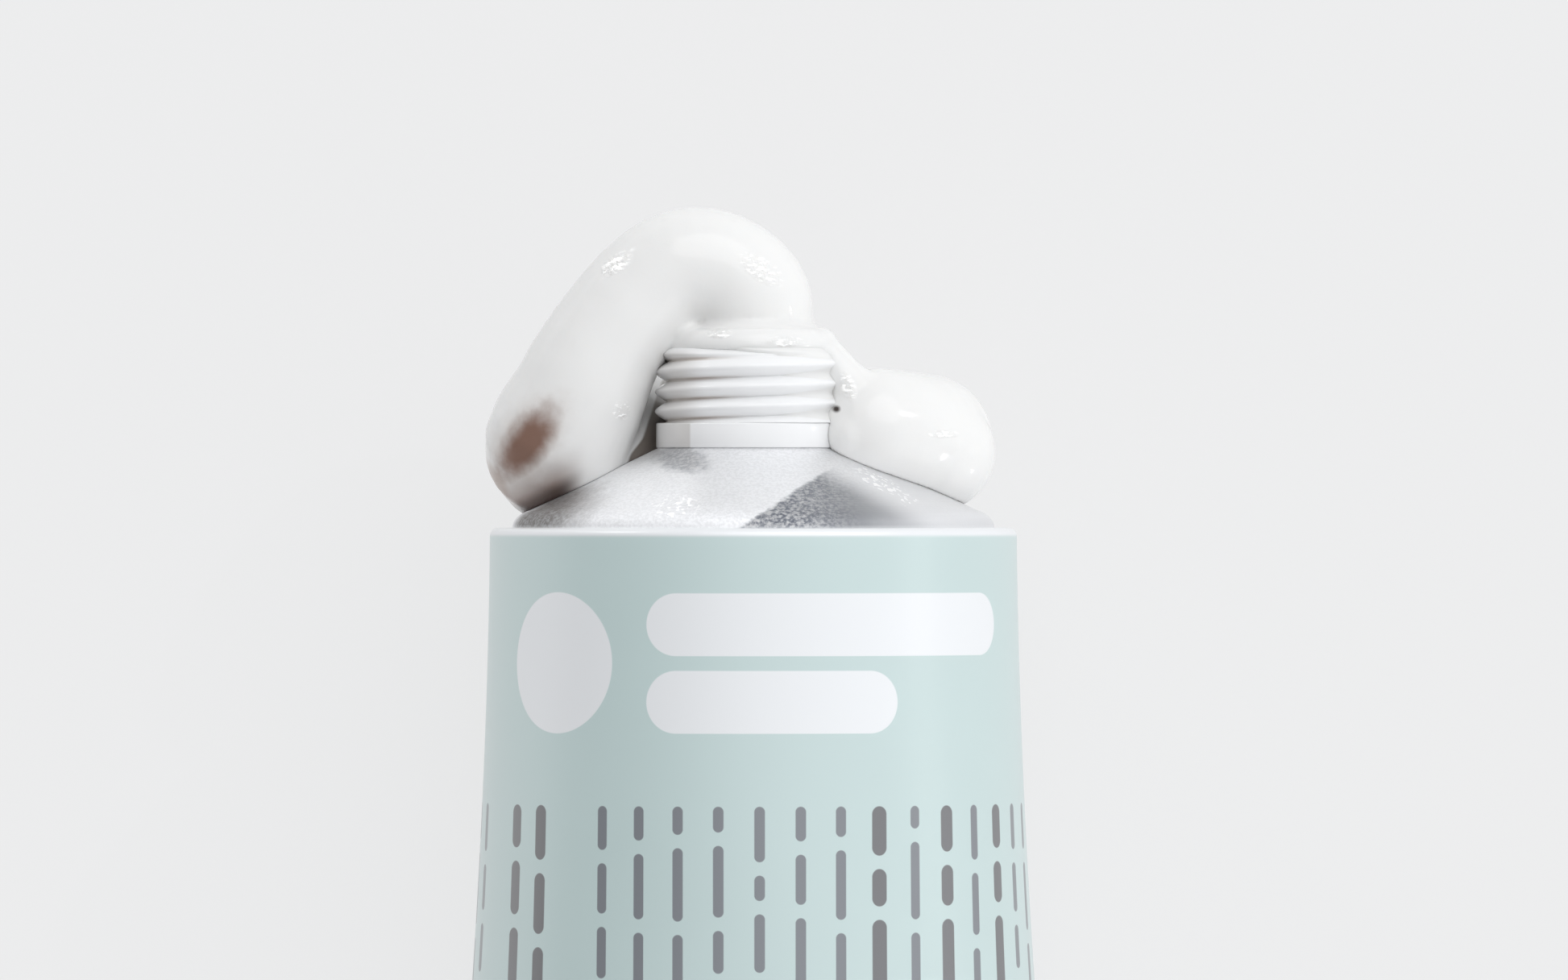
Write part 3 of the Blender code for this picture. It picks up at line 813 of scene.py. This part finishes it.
def nozzleLine():
    n = nozzle
    foot = shoulderHeight(n["collarRadius"]) + n["seatGap"]
    inner = foot + (n["collarRadius"] - n["socket"]) * math.tan(tube["shoulderAngle"])
    seat = shoulderHeight(tube["neckRadius"]) + tube["neckHeight"] + 0.3 * mm
    bore, top = n["orifice"], n["top"]
    line = [(n["socket"], inner), (n["socket"], seat), (bore, seat), (bore, top - 0.3 * mm)]
    line += [(bore + 0.09 * mm, top - 0.08 * mm), (bore + 0.3 * mm, top)]
    for i in range(n["lipSteps"] + 1):
        turn = math.pi / 2 * i / n["lipSteps"]
        line.append((n["lipRadius"] - n["lipRound"] * (1 - math.sin(turn)),
                     n["top"] - n["lipRound"] * (1 - math.cos(turn))))
    lipFoot = n["threadedTop"] + 0.3 * mm
    count = round((lipFoot - n["collarTop"]) / n["step"])
    for i in range(count + 1):
        height = lipFoot + (n["collarTop"] - lipFoot) * i / count
        blend = min(1.0, (lipFoot - height) / (0.5 * mm))
        line.append((n["lipRadius"] + (n["rootRadius"] - n["lipRadius"]) * blend, height))
    for i in range(n["collarSteps"] + 1):
        turn = math.pi / 2 * i / n["collarSteps"]
        line.append((n["collarRadius"] - n["collarRound"] * (1 - math.sin(turn)),
                     n["collarTop"] - n["collarRound"] * (1 - math.cos(turn))))
    line += [(n["collarRadius"], foot + 0.1 * mm), (n["collarRadius"] - 0.05 * mm, foot + 0.02 * mm)]
    return line


def makeNozzle(material):
    bm = bmesh.new()
    spinLine(bm, nozzleLine(), nozzle["around"])
    bmesh.ops.remove_doubles(bm, verts=bm.verts[:], dist=hair)
    bmesh.ops.recalc_face_normals(bm, faces=bm.faces[:])
    for corner in bm.verts:
        x, h, d = corner.co
        radius = math.hypot(x, d)
        beside = nozzle["lipRadius"] - hair < radius < nozzle["rootRadius"] + hair
        if beside and nozzle["collarTop"] - hair < h < nozzle["top"] - nozzle["lipRound"]:
            lift = float(threadLift(x, h, d))
            corner.co.x *= (radius + lift) / radius
            corner.co.z *= (radius + lift) / radius
    finishPiece("threadedNozzle", bm, material, "nozzle")


plastic = {
    "color": (0.92, 0.925, 0.93),
    # painted reflection colour on the nozzle's left side
    "legReflection": (0.66, 0.64, 0.62),
    "legReflectionEdge": -4.75 * mm,
    # painted shade colour for the thread's grooves
    "grooveShade": (0.42, 0.33, 0.27),
    "roughness": 0.16,
    "cloudScale": 300.0,
    "peelScale": 1400.0,
}


def makePlasticMaterial():
    material, tree, shader = newMaterial("whiteGlossPlastic")
    place = tubePlace(tree)
    cloud = noiseNode(tree, place, plastic["cloudScale"], 3.0)
    color = mixColor(tree, cloud, toned(plastic["color"], 0.97), plastic["color"])
    x, h, d = splitVector(tree, place)
    radius = lengthOf(tree, x, d)
    # painted shade in the thread's grooves, heavier towards the left
    deep = fade(tree, radius, nozzle["rootRadius"] + 0.32 * mm, nozzle["rootRadius"] + 0.02 * mm)
    collarTop, threadedTop, edge = nozzle["collarTop"], nozzle["threadedTop"], plastic["legReflectionEdge"]
    onThread = fade(tree, h, collarTop - 0.1 * mm, collarTop)
    threaded = product(tree, onThread, fade(tree, h, threadedTop - 0.3 * mm, threadedTop - 0.6 * mm))
    leftward = fade(tree, x, 0.5 * mm, -6.2 * mm)
    color = mixColor(tree, product(tree, deep, threaded, leftward, 0.95), color, plastic["grooveShade"])
    # painted reflection of the paste leg's shaded side on the nozzle's left: it ends sharply on the collar
    # and softly on the thread
    legReflection = fade(tree, x, edge + 0.08 * mm, edge - 0.12 * mm)
    softLegReflection = fade(tree, x, edge + 1.4 * mm, edge - 1.6 * mm)
    legReflection = scaled(tree, minus(tree, softLegReflection, legReflection), onThread, legReflection)
    thin = fade(tree, x, edge, -7.2 * mm)
    below = fade(tree, h, threadedTop + 0.3 * mm, threadedTop - 0.3 * mm)
    legReflection = product(tree, legReflection, below, scaled(tree, thin, -0.35, 0.85))
    peel = noiseNode(tree, place, plastic["peelScale"], 2.0)
    setInputs(tree, shader, {
        "Base Color": mixColor(tree, legReflection, color, plastic["legReflection"]),
        "Roughness": scaled(tree, cloud, 0.12, plastic["roughness"] - 0.06),
        "Normal": bumpNode(tree, peel, 0.12, 0.03 * mm),
    })
    return material


makeNozzle(makePlasticMaterial())


# Paste: one bead, swept, merged and moulded round the nozzle and shoulder

paste = {
    "bendRadius": 4.5 * mm,
    "beadRadius": 4.65 * mm,
    "swell": 2.0 * mm,
    "lean": 0.25 * mm,
    "rise": 0.25 * mm,
    "settleFrom": 15.0 * mm,
    "settleRun": 15.0 * mm,
    "legRadius": 6.0 * mm,
    "legPoints": (
        inMm(-11.2, 14.1, 0.3),
        inMm(-13.3, 9.8, 0.0),
        inMm(-14.75, 6.2, -1.8),
    ),
    "wrapRadius": 13.4 * mm,
    "wrapSeat": 3.1 * mm,
    "wrapFrom": math.radians(207),
    "wrapTo": math.radians(345),
    "endPoints": (
        inMm(12.7, 6.6, -1.5),
        inMm(11.2, 6.9, 0.4),
        inMm(9.4, 7.2, 1.3),
    ),
    "cuffAround": 96,
    "cuff": (  # radius and height of the film over the lip, in millimetres
        (5.8, 13.4), (6.4, 13.45), (6.55, 13.9), (6.42, 14.3), (6.24, 14.6), (6.0, 14.88), (5.6, 15.06),
        (5.15, 15.16), (4.85, 15.32), (4.6, 15.55), (4.0, 15.6), (4.0, 14.8), (5.4, 14.6),
    ),
    "filmRadius": 5.88 * mm,
    "filmRoll": 0.19 * mm,
    "filmShift": 1.36 * mm,
    "filmSide": math.radians(66),
    "filmWave": 0.05 * mm,
    "filmAround": 180,
    "filmStep": 0.1 * mm,
    "endRadius": 4.9 * mm,
    "endRun": 20.0 * mm,
    "lumps": (  # middle, radius: beside the lip, down the thread's right end, the bead end's foot
        (inMm(-4.9, 14.6, 1.5), 1.6 * mm),
        (inMm(5.1, 13.9, 2.0), 1.3 * mm),
        (inMm(5.8, 13.0, 2.6), 1.3 * mm),
        (inMm(6.4, 12.2, 2.9), 1.4 * mm),
        (inMm(6.9, 11.5, 3.0), 1.5 * mm),
        (inMm(7.5, 10.8, 3.0), 1.7 * mm),
        (inMm(7.8, 9.7, 3.1), 1.8 * mm),
        (inMm(8.0, 8.6, 3.3), 1.9 * mm),
        (inMm(7.5, 7.0, 4.1), 1.95 * mm),
        (inMm(13.9, 5.7, -1.0), 4.5 * mm),
    ),
    "sweepStep": 0.8 * mm,
    "voxel": 0.26 * mm,
    "contact": 0.015 * mm,
    "deepest": 0.4 * mm,
    "smoothings": 4,
    "swirl": 0.09 * mm,
    "swirlSizes": inMm(5.5, 2.1),
}


def beadRoute():
    p = paste
    middle = Vector((p["lean"] - p["bendRadius"], nozzle["top"] + p["rise"], 0))
    route = [Vector((0, nozzle["top"] - 3.8 * mm, 0)), Vector((0, nozzle["top"] - 2.1 * mm, 0))]
    for degrees in (0, 35, 70, 105, 140):
        turn = math.radians(degrees)
        route.append(middle + p["bendRadius"] * Vector((math.cos(turn), math.sin(turn), 0)))
    route += [Vector(point) for point in p["legPoints"]]
    height = shoulderHeight(p["wrapRadius"]) + p["wrapSeat"] / math.cos(tube["shoulderAngle"])
    for i in range(7):
        turn = p["wrapFrom"] + (p["wrapTo"] - p["wrapFrom"]) * i / 6
        route.append(Vector((p["wrapRadius"] * math.cos(turn), height, p["wrapRadius"] * math.sin(turn))))
    return route + [Vector(point) for point in p["endPoints"]]


def smoothLine(points, step):
    line = []
    for i in range(len(points) - 1):
        before, after = points[max(i - 1, 0)], points[min(i + 2, len(points) - 1)]
        a, b = points[i], points[i + 1]
        reach = (b - a).length / 3
        leave = a + (b - before).normalized() * reach
        arrive = b - (after - a).normalized() * reach
        count = max(2, round((b - a).length / step) + 1)
        line += geometry.interpolate_bezier(a, leave, arrive, b, count)[:-1]
    return line + [points[-1]]


def beadRadiusAt(out, left):
    p = paste
    orifice = nozzle["orifice"] - 0.1 * mm
    if out < p["swell"]:
        return orifice + (p["beadRadius"] - orifice) * max(0.0, out / p["swell"])
    settled = min(1.0, max(0.0, (out - p["settleFrom"]) / p["settleRun"]))
    radius = p["beadRadius"] + (p["legRadius"] - p["beadRadius"]) * eased(settled)
    ending = min(1.0, left / p["endRun"])
    return p["endRadius"] + (radius - p["endRadius"]) * ending


def sweepBead():
    line = smoothLine(beadRoute(), paste["sweepStep"])
    out = [-3.8 * mm]
    for a, b in zip(line, line[1:]):
        out.append(out[-1] + (b - a).length)
    curve = bpy.data.curves.new("beadCurve", "CURVE")
    curve.dimensions = "3D"
    curve.bevel_depth = 1.0
    curve.bevel_resolution = 14
    curve.use_fill_caps = True
    spline = curve.splines.new("POLY")
    spline.points.add(len(line) - 1)
    for knot, point, gone in zip(spline.points, line, out):
        knot.co = (*point, 1)
        knot.radius = beadRadiusAt(gone, out[-1] - gone)
    bm = bmesh.new()
    bm.from_mesh(evaluatedMesh(bpy.data.objects.new("beadCurve", curve)))
    bmesh.ops.remove_doubles(bm, verts=bm.verts[:], dist=hair)
    balls = [(line[-1], paste["endRadius"])] + list(paste["lumps"])
    for place, radius in balls:
        bmesh.ops.create_icosphere(bm, subdivisions=4, radius=radius, matrix=Matrix.Translation(place))
    spinLine(bm, [(radius * mm, height * mm) for radius, height in paste["cuff"]], paste["cuffAround"])
    bmesh.ops.recalc_face_normals(bm, faces=bm.faces[:])
    return bm


def addGrooveFilm(bm):
    # a ring of unit size is spun, then its wall is drawn in to lie in the thread's grooves
    p = paste
    foot, top = nozzle["collarTop"] + 0.1 * mm, nozzle["threadedTop"] + 0.3 * mm
    count = round((top - foot) / p["filmStep"])
    line = [(1.0, foot + (top - foot) * i / count) for i in range(count + 1)] + [(0.5, top), (0.5, foot)]
    before = set(bm.verts)
    spinLine(bm, line, p["filmAround"])
    for corner in set(bm.verts) - before:
        x, h, d = corner.co
        if math.hypot(x, d) < 0.75:
            radius = nozzle["orifice"] + 0.3 * mm
        else:
            angle = math.atan2(x, d)
            radius = p["filmRadius"] + p["filmShift"] * math.cos(angle - p["filmSide"])
            radius += p["filmWave"] * noise.noise(Vector((x * 3, h / (1.3 * mm), d * 3)))
            turns = (h - nozzle["crestHeight"]) / nozzle["threadPitch"] - angle / (2 * math.pi)
            radius += p["filmRoll"] * math.cos(2 * math.pi * turns)
            radius = min(radius, nozzle["lipRadius"] + 0.45 * mm + (top - h) * 1.1)
        corner.co.x *= radius / math.hypot(x, d)
        corner.co.z *= radius / math.hypot(x, d)


def voxelMerged(bm, name, size):
    rough = bpy.data.meshes.new(name)
    bm.to_mesh(rough)
    bm.free()
    thing = bpy.data.objects.new(name, rough)
    remesh = thing.modifiers.new("merge", "REMESH")
    remesh.mode = "VOXEL"
    remesh.voxel_size = size
    return evaluatedMesh(thing)


def headOutline(radius):
    r, h = np.array(headLine()[3:]).T  # from the neck's foot outwards
    return np.interp(radius, r, h)


def moulded(co):
    # corners just inside the nozzle or under the head's outline go to its surface
    x, h, d = co[:, 0].copy(), co[:, 1].copy(), co[:, 2].copy()
    radius = np.maximum(np.hypot(x, d), 1e-9)
    gap = paste["contact"]
    root = np.where(h > nozzle["threadedTop"], nozzle["lipRadius"], nozzle["rootRadius"])
    wall = np.where(h < nozzle["collarTop"], nozzle["collarRadius"], root + threadLift(x, h, d))
    wall = np.minimum(wall, nozzle["collarRadius"]) + gap
    toTop = nozzle["top"] + gap - h
    toSide = wall - radius
    within = (radius > nozzle["orifice"]) & (toTop > 0) & (toSide > 0)
    within &= np.minimum(toTop, toSide) < paste["deepest"]
    upward = within & (toTop < toSide)
    sideways = within & ~upward
    h[upward] = nozzle["top"] + gap
    scale = np.where(sideways, wall / radius, 1.0)
    x, d = x * scale, d * scale
    radius = np.hypot(x, d)
    ground = headOutline(radius) + gap
    low = (radius > nozzle["collarRadius"] - 0.5 * mm) & (h < ground)
    h[low] = ground[low]
    touched = within | low
    return np.stack([x, h, d], 1), touched


def makePaste(material):
    mesh = voxelMerged(sweepBead(), "beadRough", paste["voxel"])
    bm = bmesh.new()
    bm.from_mesh(mesh)
    for _ in range(paste["smoothings"]):
        smoothVerts(bm, bm.verts[:])
    bm.normal_update()
    for corner in bm.verts:
        place = corner.co
        large, small = (noise.noise(place / size) for size in paste["swirlSizes"])
        wave = large + 0.35 * small
        corner.co += corner.normal * wave * paste["swirl"]
    bm.to_mesh(mesh)
    bm.free()
    co = np.empty(len(mesh.vertices) * 3)
    mesh.vertices.foreach_get("co", co)
    co, touched = moulded(co.reshape(-1, 3))
    mesh.vertices.foreach_set("co", co.reshape(-1))
    bm = bmesh.new()
    bm.from_mesh(mesh)
    bm.verts.ensure_lookup_table()
    rim = [corner for corner in bm.verts if not touched[corner.index]
           and any(touched[edge.other_vert(corner).index] for edge in corner.link_edges)]
    smoothVerts(bm, rim)
    addGrooveFilm(bm)
    bmesh.ops.recalc_face_normals(bm, faces=bm.faces[:])
    finishPiece("squeezedPaste", bm, material, "toothpaste")


fill = {
    "around": 64,
    "inset": 0.45 * mm,
    "ringStep": 3.0 * mm,
    "rings": 42,
}


def makeFill(material):
    count, inset = fill["around"], fill["inset"]
    core = nozzle["orifice"] - 0.1 * mm
    rings = [roundRing(core, nozzle["top"] - 3.7 * mm, count)]
    rings.append(roundRing(core, shoulderHeight(tube["neckRadius"]), count))
    rings.append(roundRing(kneeTop - inset, tube["kneeRise"] - inset * 2, count))
    rings.append(roundRing(lie["bodyRadius"] - inset * 2, -inset, count))
    for i in range(1, fill["rings"] + 1):
        rings.append(sleeveRing(lie["rimRound"] + fill["ringStep"] * i, count, inset * 2))
    bm = bmesh.new()
    extrudeSkin(bm, rings)
    finishPiece("pasteInSleeve", bm, material, "toothpaste")


pasteFinish = {
    "color": (0.87, 0.868, 0.857),
    "brown": (0.19, 0.085, 0.05),
    "shadow": (0.05, 0.035, 0.03),
    # painted shade colour for the gap beside the nozzle
    "gapShadeColor": (0.20, 0.165, 0.14),
    "tan": (0.40, 0.29, 0.23),
    "roughness": 0.13,
    "scatter": 0.12,
    "scatterDepth": 1.2 * mm,
    "cloudScale": 160.0,  # these scales are noise waves in a metre
    "softScale": 500.0,
    "fineScale": 3200.0,
    "sparkScale": 2300.0,
    "sparkStretch": (0.7, 1.9, 1.0),
    "halo": (inMm(-17.4, 6.0, 2.0), inMm(3.3, 6.6, 9.0), -0.66, 0.3),
    "brownPatch": (inMm(-17.0, 6.5, 2.0), inMm(2.2, 4.6, 9.0), -0.66, 0.3),
    "heel": ((-20.0 * mm, 3.2 * mm, 0.0), inMm(1.9, 3.0, 9.0), 0.5, 0.2),
    "pit": (inMm(6.3, 9.0, 4.0), inMm(0.45, 0.40, 2.5), 0.0, 0.2),
    "footLine": 9.4 * mm,  # height at which the shoulder's line meets the axis
    "glintStrength": 0.35,
    "glints": (  # rippled places with painted glints that glow: middle, reach, turn
        (inMm(-10.4, 20.0, 3.4), inMm(1.6, 0.85, 3.0), 0.6),
        (inMm(0.6, 19.6, 4.0), inMm(2.3, 1.0, 3.0), -0.55),
        (inMm(-10.0, 8.9, 3.6), inMm(0.8, 0.9, 3.0), 0.0),
        (inMm(-2.6, 14.7, 5.7), inMm(1.2, 0.45, 2.0), 0.0),
        (inMm(2.5, 14.1, 5.9), inMm(1.7, 0.5, 2.0), 0.0),
        (inMm(14.4, 7.1, 4.3), inMm(1.5, 0.35, 2.5), 0.0),
        (inMm(7.2, 10.6, 4.0), inMm(0.7, 1.5, 2.5), 0.3),
    ),
}


def makePasteMaterial():
    material, tree, shader = newMaterial("whitePaste")
    place = tubePlace(tree)
    cloud = noiseNode(tree, place, pasteFinish["cloudScale"], 3.0)
    color = mixColor(tree, cloud, toned(pasteFinish["color"], 0.975), pasteFinish["color"])
    x, h, d = splitVector(tree, place)
    names = ("halo", "brownPatch", "heel", "pit")
    halo, brownPatch, heel, pit = (spot(tree, place, *pasteFinish[name]) for name in names)
    contact = scaled(tree, x, math.tan(tube["shoulderAngle"]), pasteFinish["footLine"])
    above = minus(tree, h, contact)
    # the foot, browner where the leg meets the shoulder: partly brown dirt, partly painted contact shade
    foot = product(tree, fade(tree, above, 3.8 * mm, 0.2 * mm), fade(tree, x, -12.4 * mm, -15.2 * mm))
    # painted contact shade just above where the leg meets the shoulder
    contactShade = product(tree, fade(tree, above, 1.7 * mm, 0.5 * mm), fade(tree, x, -12.6 * mm, -14.6 * mm))
    radius = lengthOf(tree, x, d)
    # painted shade in the gap between the leg and the nozzle, where the bead goes behind
    edge = scaled(tree, h, -0.32, x)
    edge = scaled(tree, fade(tree, h, 7.0 * mm, 5.3 * mm), 0.55 * mm, edge)
    hollow = fade(tree, edge, -10.7 * mm, -10.45 * mm)
    limits = ((d, 2.0, 0.8), (x, -4.5, -6.0), (radius, 10.4, 9.4), (h, 13.7, 13.0))
    hollow = product(tree, hollow, *(fade(tree, value, low * mm, high * mm) for value, low, high in limits))
    depth = scaled(tree, fade(tree, h, 10.5 * mm, 6.5 * mm), 0.25, 0.68)
    color = mixColor(tree, product(tree, hollow, depth), color, pasteFinish["gapShadeColor"])
    # tan around the brown patch and at the leg's far left edge; brown in the patch and on the foot
    tint = largest(tree, [product(tree, halo, 0.32), product(tree, heel, 0.7)])
    color = mixColor(tree, tint, color, pasteFinish["tan"])
    browned = largest(tree, [product(tree, brownPatch, 0.92), product(tree, foot, 0.88)])
    color = mixColor(tree, browned, color, pasteFinish["brown"])
    # painted contact shade: darkest just above the contact line
    color = mixColor(tree, product(tree, contactShade, 0.75), color, pasteFinish["shadow"])
    # painted shadow: a dark dot in the gap between the thread's right end and the bead's end
    color = mixColor(tree, pit, color, pasteFinish["shadow"])
    soft = noiseNode(tree, place, pasteFinish["softScale"], 2.0)
    fine = noiseNode(tree, place, pasteFinish["fineScale"], 2.0)
    glints = largest(tree, [spot(tree, place, *glint, 0.3) for glint in pasteFinish["glints"]])
    dull = scaled(tree, cloud, 0.08, pasteFinish["roughness"] - 0.04)
    crisp = scaled(tree, glints, 0.97, 0.03)
    streaked = tree.nodes.new("ShaderNodeMapping")
    setInputs(tree, streaked, {"Vector": place, "Scale": pasteFinish["sparkStretch"]})
    streaks = noiseNode(tree, streaked.outputs["Vector"], pasteFinish["sparkScale"], 2.0)
    # painted glints: streaked flecks in the rippled places glow through Emission Color
    sparks = product(tree, fade(tree, streaks, 0.52, 0.62), glints)
    normal = bumpNode(tree, soft, 0.15, 0.05 * mm)
    normal = bumpNode(tree, product(tree, fine, crisp), 1.0, 0.15 * mm, normal)
    setInputs(tree, shader, {
        "Base Color": color,
        "Roughness": product(tree, dull, scaled(tree, glints, -0.75, 1.0)),
        "Subsurface Weight": pasteFinish["scatter"],
        "Subsurface Radius": (1.0, 0.9, 0.8),
        "Subsurface Scale": pasteFinish["scatterDepth"],
        "Emission Color": paintedGlintColor(tree, sparks),
        "Emission Strength": pasteFinish["glintStrength"],
        "Normal": normal,
    })
    return material


pasteMaterial = makePasteMaterial()
makePaste(pasteMaterial)
makeFill(pasteMaterial)
